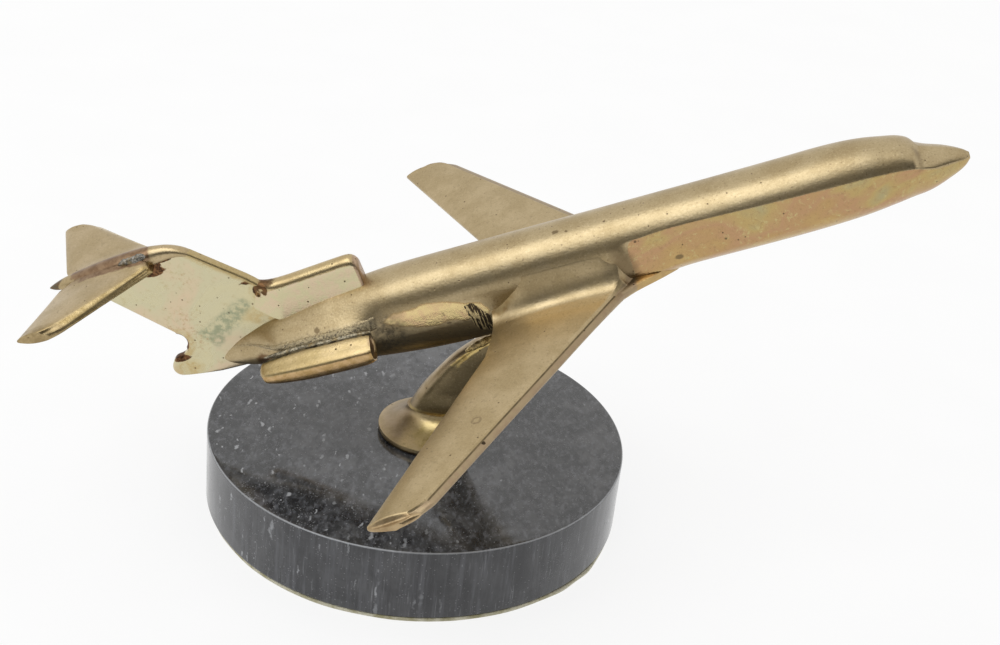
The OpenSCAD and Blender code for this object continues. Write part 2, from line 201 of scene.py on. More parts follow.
# ---- material graphs
class Graph:
    """Builds shader nodes with short calls; most of them return an output socket."""

    def __init__(self, name, place=STANDING, kind="materials"):
        self.owner = getattr(bpy.data, kind).new(name)
        self.owner.use_nodes = True
        self.tree = self.owner.node_tree
        self.tree.nodes.clear()
        if place is not None:
            back = place.inverted()
            self.at = self.node("Mapping", links={
                "Vector": self.node("TexCoord", out="Object"), "Location": back.translation,
                "Rotation": back.to_euler()})

    def node(self, kind, out=0, props=None, links=None):
        made = self.tree.nodes.new("ShaderNode" + kind)
        for key, value in (props or {}).items():
            setattr(made, key, value)
        for key, value in (links or {}).items():
            if isinstance(value, bpy.types.NodeSocket):
                self.tree.links.new(value, made.inputs[key])
            else:
                made.inputs[key].default_value = value
        return made.outputs[out]

    def scaled(self, by, turn=(0, 0, 0)):
        return self.node("Mapping", links={"Vector": self.at, "Scale": by, "Rotation": turn})

    def noise(self, size, detail=3, rough=0.55, at=None, warp=0.0):
        """Noise with features of about this many millimetres."""
        return self.node("TexNoise", links={
            "Vector": at or self.at, "Scale": 1 / (size * MM), "Detail": detail,
            "Roughness": rough, "Distortion": warp})

    def math(self, how, a, b=0.0):
        return self.node("Math", props={"operation": how}, links={0: a, 1: b})

    def times(self, a, b):
        return self.math("MULTIPLY", a, b)

    def mask(self, value, low, high, dark=0.0, bright=1.0):
        """Dark where value is under low, bright where it is over high."""
        return self.node("MapRange", props={"interpolation_type": "SMOOTHSTEP"}, links={
            "Value": value, "From Min": low, "From Max": high, "To Min": dark,
            "To Max": bright})

    def patchy(self, size, detail, rough, low, high, at=None):
        """A mask of noise with features of about this many millimetres."""
        return self.mask(self.noise(size, detail, rough, at), low, high)

    def blend(self, fac, a, b):
        return self.node("Mix", out=2, props={"data_type": "RGBA"}, links={
            0: fac, 6: a if isinstance(a, bpy.types.NodeSocket) else (*a, 1),
            7: b if isinstance(b, bpy.types.NodeSocket) else (*b, 1)})

    def lay(self, colour, mask, tone, share=1.0):
        """Tone over colour where mask is 1, at a share of its strength."""
        return self.blend(mask if share == 1.0 else self.times(mask, share), colour, tone)

    def mix(self, fac, a, b):
        return self.node("Mix", props={"data_type": "FLOAT"}, links={0: fac, 2: a, 3: b})

    def ramp(self, fac, stops):
        made = self.tree.nodes.new("ShaderNodeValToRGB")
        bar = made.color_ramp.elements
        while len(bar) < len(stops):
            bar.new(0.5)
        for element, (pos, colour) in zip(bar, stops):
            element.position = pos
            element.color = (*colour, 1)
        self.tree.links.new(fac, made.inputs["Fac"])
        return made.outputs["Color"]

    def spots(self, size, radius, share, at=None):
        """Round spots in a share of cells of this many millimetres; 1 inside a spot."""
        away = self.node("TexVoronoi", out="Distance", links={
            "Vector": at or self.at, "Scale": 1 / (size * MM)})
        chosen = self.node("SeparateColor", links={0: away.node.outputs["Color"]})
        close = self.math("SUBTRACT", 1.0, self.mask(away, radius * 0.6, radius * 1.3))
        return self.times(close, self.mask(chosen, 1 - share, 1.001 - share))

    def pores(self, small, large):
        """Small and large holes; each is the size, radius and share of spots."""
        return self.math("MAXIMUM", self.spots(*small), self.spots(*large))

    def field(self, name, edge, soft, grain=0.8):
        """1 where a painted field is above 0, with an uneven edge (all in its own units)."""
        value = self.node("Attribute", out="Fac", props={"attribute_name": name})
        wander = self.times(self.math("SUBTRACT", self.noise(grain * 2, 4, 0.65), 0.5), edge * 2)
        return self.mask(self.math("ADD", value, wander), -soft, soft)

    def bump(self, height, depth, after=None):
        links = {"Height": height, "Strength": 1.0, "Distance": depth * MM}
        if after is not None:
            links["Normal"] = after
        return self.node("Bump", links=links)

    def dent(self, hole, depth, after):
        return self.bump(self.math("SUBTRACT", 1.0, hole), depth, after)

    def finish(self, colour, shine, normal=None, metal=1.0, **others):
        links = {key.replace("_", " "): value for key, value in others.items()}
        links |= {"Base Color": colour, "Metallic": metal, "Roughness": shine}
        if normal is not None:
            links["Normal"] = normal
        out = self.tree.nodes.new("ShaderNodeOutputMaterial")
        self.tree.links.new(self.node("BsdfPrincipled", links=links), out.inputs["Surface"])
        return self.owner


def speckle(g, colour, share=1.0):
    """Fine light and dark specks over a blasted surface."""
    fine = g.noise(0.5, 3, 0.8)
    colour = g.lay(colour, g.mask(fine, 0.52, 0.72), (0.66, 0.55, 0.36), 0.45 * share)
    colour = g.lay(colour, g.mask(fine, 0.48, 0.3), (0.22, 0.16, 0.08), 0.4 * share)
    return g.lay(colour, g.spots(0.85, 0.24, 0.16), (0.13, 0.08, 0.04), 0.4 * share)


def brass(name, light, deep, rough, patches=(), pits=0.5, grain=0.036):
    """Cast brass with blotches, pits and a fine grain, and painted patches over it.

    A patch is (field, edge wander, edge softness, colour, colour, roughness).
    """
    g = Graph(name)
    blotch = g.noise(9, 4, 0.6)
    colour = g.blend(g.mask(blotch, 0.36, 0.66), light, deep)
    dull = tuple(c * 0.72 for c in deep)
    colour = speckle(g, g.lay(colour, g.patchy(1.3, 3, 0.6, 0.54, 0.9), dull), 0.8)
    shine = g.mix(g.mask(blotch, 0.3, 0.75), rough - 0.04, rough + 0.06)
    for field, edge, soft, one, other, roughness in patches:
        here = g.field(field, edge, soft)
        colour = g.lay(colour, here, g.blend(g.patchy(2.6, 5, 0.7, 0.4, 0.62), one, other))
        shine = g.mix(here, shine, roughness)
    hole = g.pores((1.9, 0.13, 0.45 * pits), (8.5, 0.055, 0.5 * pits))
    colour = g.lay(colour, hole, (0.07, 0.045, 0.022), 0.75)
    shine = g.mix(hole, shine, 0.6)
    return g.finish(colour, shine, g.dent(hole, 0.05, g.bump(g.noise(0.55, 2, 0.6), grain)))


# ---- brass finishes
SATIN, SATIN_DEEP = (0.47, 0.37, 0.215), (0.4, 0.305, 0.165)
# dark colours for stains; the dark and the brown ones also serve as painted shade, on the foot's
# bottom rim and at the bullet's hollow end
DARK_STAIN_AND_SHADE, BLACK_STAIN = (0.1, 0.06, 0.03), (0.035, 0.028, 0.02)
BROWN_STAIN_AND_SHADE = (0.19, 0.1, 0.045)
GOLD, GOLD_PINK = (0.74, 0.58, 0.28), (0.68, 0.48, 0.26)
PALE, PALE_PINK = (0.62, 0.555, 0.345), (0.66, 0.53, 0.36)
PINK_GREY = (0.36, 0.275, 0.165)

# heat tints under the nose, in the order that they shade into each other
TINTS = [(0.28, (0.42, 0.35, 0.14)), (0.4, (0.5, 0.35, 0.145)), (0.48, (0.46, 0.3, 0.135)),
         (0.56, (0.46, 0.28, 0.15)), (0.64, (0.47, 0.345, 0.145)), (0.76, (0.38, 0.35, 0.2))]


def fuselage_material():
    g = Graph("brass_fuselage", AIRBORNE)
    blotch = g.noise(9, 4, 0.6)
    colour = g.blend(g.mask(blotch, 0.36, 0.66), SATIN, SATIN_DEEP)
    colour = speckle(g, g.lay(colour, g.patchy(1.2, 3, 0.6, 0.56, 0.92), (0.33, 0.245, 0.13)))
    shine = g.mix(g.mask(blotch, 0.3, 0.75), 0.31, 0.37)
    # belly, tinted by heat and smoother than the satin above it
    belly = g.field("belly", 0.35, 0.1)
    tint = g.ramp(g.noise(16, 3, 0.55, at=g.scaled((0.5, 1, 1)), warp=0.6), TINTS)
    tint = g.lay(tint, g.patchy(0.9, 4, 0.75, 0.5, 0.8), (0.34, 0.21, 0.1))
    tint = g.lay(tint, g.patchy(1.4, 4, 0.7, 0.54, 0.72), (0.52, 0.42, 0.2))
    colour = g.lay(colour, belly, tint)
    shine = g.mix(belly, shine, 0.26)
    # brown edge and bright gold inside it, behind the wing root
    rim = g.field("gold", 0.7, 0.25, grain=1.4)
    colour = g.lay(colour, rim, (0.4, 0.28, 0.13))
    colour = g.lay(colour, g.field("gold_core", 0.8, 0.3, grain=1.4),
                   g.blend(g.patchy(5, 4, 0.6, 0.42, 0.62), GOLD, GOLD_PINK))
    shine = g.mix(rim, shine, 0.24)
    # painted shade: the lower flank under the wing root is darkened, standing in for the dark room
    # reflected there
    colour = g.lay(colour, g.field("under", 0.5, 0.6), (0.12, 0.085, 0.04), 0.72)
    # crust beside the nacelles' solder, and the scorched skin in front of it
    crust = g.field("solder", 0.8, 0.9, grain=0.9)
    flecks = g.blend(g.patchy(0.8, 5, 0.8, 0.42, 0.52), (0.1, 0.09, 0.07), (0.5, 0.42, 0.27))
    colour = g.lay(colour, crust, flecks, 0.8)
    shine = g.mix(crust, shine, 0.42)
    smudge = g.times(g.field("scorch", 1.1, 1.6, grain=1.6),
                     g.mix(g.patchy(2.4, 5, 0.75, 0.38, 0.6), 0.35, 1.0))
    soot = g.blend(g.patchy(0.9, 5, 0.75, 0.4, 0.66), (0.065, 0.057, 0.042), (0.17, 0.14, 0.09))
    colour = g.lay(colour, smudge, soot, 0.9)
    shine = g.mix(smudge, shine, 0.45)
    colour = g.lay(colour, g.field("stain", 0.4, 0.35), (0.16, 0.09, 0.035))
    # painted shade: the facet beside the front of the wing root and the crease in front of the
    # windscreen are darkened for their shade; the pocks are small dark pits in the skin
    for name, edge, soft, share in (("painted_scoop_shade", 0.5, 0.9, 0.8), ("crease", 0.12, 0.6, 0.5),
                                    ("pock", 0.25, 0.25, 0.8)):
        colour = g.lay(colour, g.field(name, edge, soft), (0.15, 0.105, 0.055), share)
    filed = g.noise(0.5, 3, 0.6, at=g.scaled((1.0, 0.4, 0.12), (0, 0.45, 0)))
    scored = g.blend(g.mask(filed, 0.5, 0.58), (0.05, 0.035, 0.02), (0.55, 0.43, 0.22))
    colour = g.lay(colour, g.field("scrape", 0.7, 0.12, grain=0.5), scored)
    hole = g.pores((1.7, 0.12, 0.16), (7.5, 0.05, 0.3))
    colour = g.lay(colour, hole, (0.07, 0.04, 0.02), 0.75)
    # fine grain, hammered casting skin, holes, then the lumpy crust
    normal = g.bump(g.noise(0.55, 2, 0.6), 0.045)
    normal = g.bump(g.noise(2.2, 2, 0.5, at=g.scaled((0.45, 1, 1))), 0.05, normal)
    normal = g.dent(hole, 0.05, normal)
    lumpy = g.times(g.field("solder", 0.3, 0.2), g.noise(0.8, 4, 0.7))
    return g.finish(colour, shine, g.bump(lumpy, 0.35, normal))


def fin_material():
    g = Graph("brass_fin")
    drift = g.noise(15, 4, 0.55, warp=0.5)
    colour = g.ramp(drift, [(0.34, PALE), (0.5, (0.6, 0.55, 0.36)), (0.62, PALE_PINK),
                            (0.74, (0.55, 0.53, 0.35))])
    colour = g.lay(colour, g.patchy(1.6, 5, 0.7, 0.52, 0.8), (0.5, 0.42, 0.23))
    shine = g.mix(g.mask(drift, 0.3, 0.7), 0.24, 0.32)
    green = g.times(g.field("green", 0.9, 1.0, grain=1.4),
                    g.mix(g.patchy(1.8, 5, 0.72, 0.36, 0.62), 0.1, 0.8))
    colour = g.lay(colour, green, (0.27, 0.3, 0.19))
    warm = g.times(g.field("warm", 0.5, 0.5, grain=1.4),
                   g.mix(g.patchy(2.2, 5, 0.7, 0.35, 0.65), 0.15, 0.6))
    colour = g.lay(colour, warm, (0.48, 0.33, 0.12))
    stain = g.field("stain", 0.4, 0.12, grain=0.7)
    colour = g.lay(colour, stain, g.blend(g.patchy(0.8, 5, 0.7, 0.42, 0.6),
                                          (0.055, 0.028, 0.016), (0.22, 0.11, 0.05)))
    shine = g.mix(stain, shine, 0.45)
    rust = g.times(g.field("rust", 0.9, 1.2), g.patchy(1.0, 5, 0.75, 0.5, 0.68))
    colour = g.lay(colour, rust, (0.4, 0.22, 0.1), 0.55)
    edge = g.field("edge", 0.15, 0.35)
    colour = g.lay(colour, edge, speckle(g, (0.48, 0.37, 0.18)))
    shine = g.mix(edge, shine, 0.36)
    hole = g.pores((1.5, 0.14, 0.16), (9.0, 0.07, 0.3))
    colour = g.lay(colour, hole, (0.14, 0.07, 0.03), 0.8)
    return g.finish(colour, shine, g.dent(hole, 0.06, g.bump(g.noise(2.4, 3, 0.5), 0.05)))


def solder_material(name, light, dark, rough):
    g = Graph(name)
    crumbs = g.noise(0.7, 6, 0.75)
    colour = g.blend(g.mask(crumbs, 0.42, 0.6), dark, light)
    colour = g.lay(colour, g.patchy(3.0, 4, 0.6, 0.5, 0.68), (0.33, 0.25, 0.13))
    shine = g.mix(g.mask(crumbs, 0.35, 0.65), rough + 0.15, rough)
    return g.finish(colour, shine, g.bump(g.noise(0.8, 5, 0.7), 0.3))


def marble_material():
    g = Graph("marble_dark")
    cloud = g.noise(14, 6, 0.62, warp=0.8)
    colour = g.blend(g.mask(cloud, 0.36, 0.7), (0.027, 0.028, 0.03), (0.092, 0.093, 0.096))
    # the stone's grain stands upright, so it shows as streaks down the side
    upright = g.scaled((1.0, 0.55, 0.07), (0, 0, 0.6))
    streak = g.patchy(1.6, 5, 0.65, 0.46, 0.68, upright)
    colour = g.lay(colour, streak, (0.135, 0.138, 0.152), 0.7)
    colour = g.lay(colour, g.patchy(2.2, 4, 0.6, 0.5, 0.36, upright), (0.012, 0.012, 0.014), 0.6)
    place = g.node("SeparateXYZ", links={0: g.at}).node.outputs
    # painted shade: the disc's side below the top is darkened; the same mask thins the white flecks
    # there
    flank = g.mask(place["Z"], (TOP_Z - 0.2) * MM, (TOP_Z - 0.6) * MM)
    colour = g.lay(colour, flank, (0.004, 0.004, 0.008), 0.4)
    colour = g.lay(colour, g.patchy(0.7, 4, 0.6, 0.6, 0.72, upright), (0.24, 0.245, 0.26), 0.45)
    # white flecks, thicker on one side of the disc
    side = g.mask(g.math("ADD", place["X"], g.times(g.math("SUBTRACT", cloud, 0.5), 0.16)),
                  0.03, -0.045)
    wobble = g.node("VectorMath", props={"operation": "SCALE"}, links={
        0: g.node("TexNoise", out="Color", links={"Vector": g.at, "Scale": 320.0, "Detail": 3.0}),
        "Scale": 0.0028})
    bent = g.node("VectorMath", props={"operation": "ADD"}, links={
        0: g.scaled((1.0, 0.33, 0.12), (0, 0, 0.75)), 1: wobble})
    big = g.pores((3.4, 0.14, 0.7, bent), (1.9, 0.14, 0.45, bent))
    big = g.times(big, g.mix(flank, 1.0, 0.75))
    mid = g.times(g.spots(2.4, 0.13, 0.5, bent), g.mask(cloud, 0.46, 0.62))
    dust = g.math("MAXIMUM", g.spots(1.0, 0.18, 0.35),
                  g.times(g.spots(0.7, 0.26, 0.5), g.patchy(9, 4, 0.6, 0.5, 0.6)))
    white = g.math("MAXIMUM", g.times(big, side), mid)
    colour = g.lay(colour, white, (0.42, 0.43, 0.45), 0.8)
    colour = g.lay(colour, dust, (0.2, 0.2, 0.21), 0.5)
    shine = g.mix(dust, g.mix(g.patchy(6, 5, 0.65, 0.35, 0.75), 0.07, 0.17), 0.5)
    # painted highlight: a pale line along the top arris
    colour = g.lay(colour, g.field("arris", 0.12, 0.1, grain=1.5), (0.42, 0.43, 0.45), 0.65)
    return g.finish(colour, shine, g.bump(g.noise(3.5, 3, 0.5), 0.006), metal=0.0, IOR=1.6)


def card_material():
    g = Graph("card_felt")
    fibre = g.noise(0.5, 5, 0.7, at=g.scaled((1, 1, 3)))
    colour = g.blend(g.patchy(5, 4, 0.6, 0.4, 0.62), (0.6, 0.57, 0.44), (0.36, 0.33, 0.19))
    colour = g.lay(colour, g.mask(fibre, 0.5, 0.78), (0.22, 0.19, 0.1))
    return g.finish(colour, g.mix(fibre, 0.7, 0.95), g.bump(fibre, 0.12), metal=0.0)


def steel_material():
    g = Graph("steel_zinc")
    haze = g.noise(3, 4, 0.6)
    colour = g.blend(g.mask(haze, 0.4, 0.65), (0.55, 0.55, 0.56), (0.4, 0.39, 0.37))
    lines = g.noise(0.4, 2, 0.5, at=g.scaled((1, 1, 12)))
    return g.finish(colour, g.mix(haze, 0.26, 0.42), g.bump(lines, 0.02))


# ---- fuselage
HALF_LEN = 104.3
CENTRE_Z = [(-95, -1.4), (-87, -1.4), (-80, -1.2), (-70, -0.6), (-60, 0.2), (-45, 1), (-25, 1.4),
            (0, 1.5), (40, 1.8), (60, 2.1), (80, 2.3), (88, 1.9), (93, 1), (100, 0.9),
            (104.8, 0.7)]
HALF_W = [(-95, 0.6), (-92, 1.9), (-87, 3.6), (-80, 5.5), (-70, 7.5), (-60, 8.9), (-45, 9.8),
          (-25, 10), (60, 10), (72, 9.8), (80, 9.2), (88, 7.9), (93, 6.6), (97, 5.3), (101, 3.6),
          (103.5, 2.2), (104.8, 1)]
TOP_H = [(-95, 0.5), (-92, 2.3), (-87, 5.0), (-80, 7.0), (-70, 8.7), (-60, 9.6), (-45, 9.9),
         (-25, 10), (60, 10.1), (72, 10.1), (80, 9.6), (88, 8.4), (91, 7.6), (92.4, 6.8),
         (93.4, 5.95), (94.2, 5.6), (97, 4.65), (101, 3.1), (103.5, 1.9), (104.8, 0.9)]
LOW_H = [(-95, 0.6), (-92, 2.6), (-87, 4.2), (-80, 5.8), (-70, 8.6), (-60, 10.9), (-50, 12.6),
         (-38, 14), (-25, 14.6), (8, 14.6), (18, 12.4), (28, 10.2), (36, 9.8), (60, 10),
         (72, 9.8), (80, 9.2), (88, 7.8), (93, 6.8), (97, 5.6), (101, 4), (103.5, 2.5),
         (104.8, 1.1)]
LOW_POW = [(-90, 2), (-60, 2.3), (-38, 2.7), (8, 2.7), (28, 2.1), (40, 2), (90, 2)]
# the edge along the beak, ahead of the windscreen, where its top meets the chin
CHINE_Z = [(84, 2.2), (88, 3.4), (91.5, 4.5), (95.5, 3.1), (100.3, 2.1), (103.7, 1.1),
           (104.8, 0.8)]
BELLY_EDGE = [(18, 6.4), (30, 7.2), (50, 7.0), (75, 6.7), (83, 6.1), (90, 4.9), (95.5, 2.6),
              (100, 1.6), (105, 0.6)]
GOLD_PATCH = [(-46.5, 2.2), (-44, 3.9), (-38, 4.2), (-35, 4.7), (-29, 3.9), (-24, 2.2),
              (-20.6, 1.2), (-18.8, -1.6), (-19.6, -3.6), (-23, -2.6), (-25.5, -3.4),
              (-29, -1.9), (-33, -2.6), (-38, -1.6), (-43, 0.2)]
SCRAPE = [(-24.8, 1.4), (-22.6, 1.6), (-18.4, -4.6), (-18.6, -9.5), (-23.2, -7.6), (-24.4, -3.2)]
# small pocks in the skin: (centre, radii)
POCKS = [((2.3, -2.7, 11.2), (0.9, 0.6, 2)), ((5.1, -3.3, 11), (0.5, 0.4, 2)),
         ((-30.6, -10, 0.5), (0.85, 3, 0.75)), ((30.6, -9, -1.4), (1.1, 3, 0.7)),
         ((-30.0, -9, -2.6), (0.7, 3, 0.5)), ((-63.5, -8, 4.4), (0.8, 3, 0.6))]


def fuselage_points(x, a):
    c, s = np.cos(a), np.sin(a)
    # the windscreen's step sits further back on the flanks than on the crown
    swept = 1.6 * np.abs(c) ** 1.5 * smooth(s / 0.35)
    swept = swept * smooth((x - 85) / 5) * smooth((99 - x) / 5)
    k = x / HALF_LEN * 104.8
    ahead = np.minimum(k + swept, 104.8)
    centre, width = curve(k, CENTRE_Z), curve(k, HALF_W)
    top, low = centre + curve(ahead, TOP_H), centre - curve(k, LOW_H)
    beak = smooth((k - 86) / 6)
    split = mix(centre, np.minimum(curve(k, CHINE_Z), top - 0.3), beak)
    over = mix(2.0 + 0.25 * smooth((k - 84) / 6), 1.55, smooth((ahead - 91.9) / 1.5))
    over = over - 0.22 * smooth((-42 - x) / 16)
    under = curve(k, LOW_POW)
    upper = s >= 0
    y = width * np.where(upper, signed_pow(c, 2 / over), signed_pow(c, 2 / under))
    z = np.where(upper, split + (top - split) * np.abs(s) ** (2 / over),
                 split - (split - low) * np.abs(s) ** (2 / under))
    # the tinted belly was filed flat, so it drops straight down from its edge
    edge = curve(x, BELLY_EDGE)
    rise = np.clip((edge - split) / (top - split), 0, 0.99)
    flat = width * (1 - rise**over) ** (1 / over) + 0.35 * smooth((edge - z) / 7)
    filed = smooth((x - 17) / 2.5) * smooth((97 - x) / 8) * (z < edge)
    y = np.sign(y) * mix(np.abs(y), np.minimum(np.abs(y), flat), filed)
    # metal run in between the tail cone and each nacelle
    run = 3.0 * smooth((x + 84) / 9) * smooth((-45.5 - x) / 12) * np.exp(
        -((np.maximum(np.abs(z - 0.5) - 1.5, 0) / 3.4) ** 2))
    return np.stack([x + 0 * a, y + np.sign(y) * run, z], -1)


def make_fuselage():
    body = np.linspace(-HALF_LEN + 10, 82, 230)
    beak = np.linspace(82.4, HALF_LEN - 0.1, 74)
    tip = HALF_LEN - 0.1 * np.array([0.6, 0.2, 0])
    x = np.concatenate([body, beak, tip])[:, None]
    points, faces = skin(fuselage_points(x, angles(144)[None, :]))
    # the casting isn't quite true: long, faint hollows
    y, z = points[:, 1], points[:, 2]
    out = np.hypot(y, z - 1.5)[:, None] + 1e-6
    wave = 0.1 * lumps(points * [0.4, 1, 1], 9)[:, None] - 0.08
    points = points + np.hstack([0 * wave, y[:, None] / out, (z - 1.5)[:, None] / out]) * wave
    x, y, z = points.T
    outer = np.abs(y) > 3
    front = x - 18.8 - 0.18 * (z - 4) ** 2 * (z > 4)
    near_side = y < 0
    gold = np.where(near_side & outer, inside(x, z, GOLD_PATCH), -9)
    fields = {
        "belly": np.minimum(curve(x, BELLY_EDGE) - z, front),
        "gold": gold,
        "gold_core": gold - 0.35,
        # painted shade on the lower flank under the wing root
        "under": np.where((x > -52) & (x < 14), np.minimum(-3.2 - z, 4), -9),
        "solder": np.minimum(1.4 * smooth((x + 88) / 30) - np.abs(z - 2.7 - 0.02 * (x + 51)),
                             -48 - x),
        # painted shade along the crease in front of the windscreen
        "crease": np.minimum(0.5 - np.abs(x - 92.1 + 0.1 * (z - 6) ** 2),
                             np.minimum(np.abs(y) - 2.4, z - 3.9)),
        "pock": np.maximum.reduce([near(points, *pock) for pock in POCKS]),
        # painted shade on the facet beside the front of the wing root
        "painted_scoop_shade": 2 * near(points, (16.6, -10, -1), (3.2, 8, 6.5)),
        "scorch": np.where(near_side, 2.4 * near(points, (-46, -9, -3.4), (5.0, 14, 7.6)), -4),
        "stain": 2 * near(points, (-79.5, -6, -3), (4.5, 5, 3)),
        "scrape": np.where(near_side & outer, inside(x, z, SCRAPE), -9),
    }
    piece("fuselage_casting", (points, faces), fuselage_material(), ["fuselage"],
          fields, 50)


# ---- wings
LE_ROOT, TE_ROOT = 23.9, -8.1
WING_HALF, TIP_CHORD = 78.7, 11.7
WING_SWEEP, TE_SWEEP = math.radians(37.3), math.radians(26.7)
SHOULDER_X, KINK = 15.0, 25.0
LEDGE_W, LEDGE_STEP = 2.0, 0.6
# a section's points run forward along the skin, down its step and over the ledge
SKIN_COUNT, STEP_FOOT, LEDGE_END = 34, 36, 44
ROOT_RISE = [(8, 9.7), (9, 9.4), (9.3, 9.0), (9.56, 8.3), (9.8, 7.6), (10.15, 6.5), (10.5, 5.4),
             (11, 4.15), (11.6, 3.0), (12.3, 2.0), (13.1, 1.2), (14.2, 0.55), (15.8, 0.15),
             (17.5, 0), (25, 0)]
GLOVE = [(3, 33), (6.3, 29), (9.1, 24.2), (11.8, 19), (14.8, 14.9)]
INNER_TE = [(3, -18.4), (8, -18.5), (12, -18.8), (18, -19.4), (KINK, -20.8)]


def skin_front(y):
    rounding = 0.25 * max(0, y - WING_HALF + 3) ** 2
    return min(SHOULDER_X, LE_ROOT - math.tan(WING_SWEEP) * y) - rounding


def ledge_front(y):
    if y < 14.8:
        return float(curve(y, GLOVE))
    line = LE_ROOT + LEDGE_W / math.cos(WING_SWEEP) * 0.98 - math.tan(WING_SWEEP) * y
    out = max(0, y - WING_HALF)
    return line - 0.6 * out**2 - 1.2 * float(smooth((y - WING_HALF + 3) / 3))


def wing_back(y):
    if y < KINK:
        return float(curve(y, INNER_TE))
    return TE_ROOT - math.tan(TE_SWEEP) * y + 1.35 * max(0, y - WING_HALF + 0.4) ** 2


def wing_top(y, u):
    """Height of the wing's skin: u is 0 at the trailing edge and 1 at the front."""
    # the fillet climbs to one height along the fuselage and dips at the shoulder in front
    plane = mix(-4.8, -3.1, u) + 0.75 * np.sin(np.pi * u**0.8) * smooth((y - 10) / 6)
    reach = (5 - plane) / 9 * mix(0.3, 1, smooth(u * 3.2)) * mix(1, 0.8, smooth(u * 10 - 9))
    return plane + curve(y, ROOT_RISE) * reach


def wing_section(y):
    """Points round the wing at y, how much each lies on the ledge, and where the step's foot gets
    painted shade.
    """
    back, front, out = wing_back(y), skin_front(y), ledge_front(y)
    low = -5.2 - 1.5 * max(0, min(1, (30 - y) / 24)) ** 2
    u = np.linspace(0, 1, SKIN_COUNT)
    x, z = mix(back, front, u), wing_top(y, u)
    drop = max(LEDGE_STEP, z[-1] + 3.1 + LEDGE_STEP)
    run = min(0.8, (out - front) * 0.4) + 0.35 * (drop - LEDGE_STEP)
    x = np.append(x, front + run * np.array([0.1, 0.45, 0.85, 1.0]))
    z = np.append(z, z[-1] - drop * np.array([0.06, 0.5, 0.93, 1.0]))
    # past the skin's tip the ledge runs right across the wing
    past = float(smooth((y - WING_HALF + 0.5) / 1.3))
    whole = np.append(u * 0.97, [0.98, 0.985, 0.995, 1.0])
    across = mix(back, out - 1.1, whole)
    behind = TE_ROOT - math.tan(TE_SWEEP) * y
    level = mix(-5.1, -3.1 - LEDGE_STEP, np.clip((across - behind) / TIP_CHORD, 0, 1))
    x, z = mix(x, across, past), mix(z, level, past)
    foot = z[-1]
    edge = x[-1]
    x = np.append(x, mix(edge, out, np.array([0.25, 0.55, 0.85])))
    z = np.append(z, foot - 0.5 * np.array([0.12, 0.4, 0.8]))
    x = np.append(x, out + np.array([0.06, 0.1, 0.0, -0.2, -0.5]))
    z = np.append(z, mix(foot - 0.6, low, np.array([0.0, 0.2, 0.55, 0.85, 1.0])))
    v = np.linspace(0, 1, 27)[1:]
    x = np.append(x, mix(out - 0.5, back, v))
    z = np.append(z, mix(low, -5.7, smooth(v)))
    z = np.append(z, [-5.5, -5.25])
    x = np.append(x, [back - 0.12, back - 0.12])
    on_ledge = np.zeros(len(x))
    on_ledge[:STEP_FOOT] = past
    on_ledge[STEP_FOOT:LEDGE_END] = 1
    # painted shade: a dark line along the foot of the step, standing in for the shade in its
    # crevice
    step_shade = np.zeros(len(x))
    if 15 < y < WING_HALF - 3:
        step_shade[STEP_FOOT:STEP_FOOT + 2] = 1
    return np.stack([x, np.full(len(x), y), z], 1), on_ledge, step_shade


def make_wing(word, side):
    root = np.concatenate([[4, 6, 8], np.linspace(8.8, 11.4, 27), np.linspace(11.6, 15, 18)])
    mid = np.linspace(15.4, WING_HALF - 0.7, 96)
    tip = WING_HALF + np.array([-0.55, -0.4, -0.25, -0.1, 0.05, 0.2, 0.35, 0.5, 0.65, 0.8, 1.0,
                                1.2, 1.4, 1.6, 1.75, 1.87, 1.95, 2.0])
    made = [wing_section(y) for y in np.concatenate([root, mid, tip])]
    rings, ledge, step_shade = (np.array(part) for part in zip(*made))
    rings[..., 1] *= side
    points, faces = skin(rings)
    ledge, step_shade = (np.append(part, [0, 0]) for part in (ledge, step_shade))
    x, y, z = points.T
    span = np.abs(y)
    top = (z > -4.9) & (ledge < 0.5) & (span < WING_HALF)
    points[top, 2] += 0.06 * lumps(points[top], 7, 2 + side)
    fields = {
        "ledge": ledge * 2 - 1,
        # painted shade at the step's foot, fainter on the port wing
        "step_shade": step_shade * 2 - 1.0 - (side > 0),
        "pit": 1.2 * near(points, (-20.4, -60, -4), (0.55, 0.55, 2)),
        "ring": 0.3 - np.abs(np.hypot(x + 22, y + 52) - 1.1),
        # darkening where the wing meets the fuselage: painted shade, with grime
        "root_shade_and_grime": np.where(z > -7, 11.6 - span - 0.3 * np.abs(x + 16), -9),
        "tip_marks": span - WING_HALF + 0.1,
        "glove": np.minimum(x - 18.6, -3.5 - z),
    }
    piece(word + "_wing_casting", (points, faces), wing_material("brass_wing_" + word),
          [word + "_wing"], fields, 32)


def wing_material(name):
    patches = (
        # painted shade with grime near the wing root
        ("root_shade_and_grime", 0.6, 0.6, (0.27, 0.18, 0.08), (0.34, 0.25, 0.12), 0.35),
        ("ledge", 0.25, 0.3, PINK_GREY, (0.33, 0.24, 0.15), 0.36),
        # painted shade at the step's foot
        ("step_shade", 0.3, 0.45, (0.13, 0.1, 0.055), (0.2, 0.15, 0.08), 0.5),
        ("tip_marks", 0.1, 0.1, (0.45, 0.335, 0.19), (0.34, 0.24, 0.13), 0.34),
        ("pit", 0.2, 0.15, DARK_STAIN_AND_SHADE, BLACK_STAIN, 0.6),
        ("ring", 0.15, 0.12, (0.27, 0.2, 0.11), (0.32, 0.24, 0.13), 0.4),
        ("glove", 0.3, 0.4, (0.5, 0.35, 0.15), (0.44, 0.3, 0.14), 0.3),
    )
    return brass(name, (0.5, 0.39, 0.225), (0.43, 0.33, 0.18), 0.36, patches, pits=0.3)


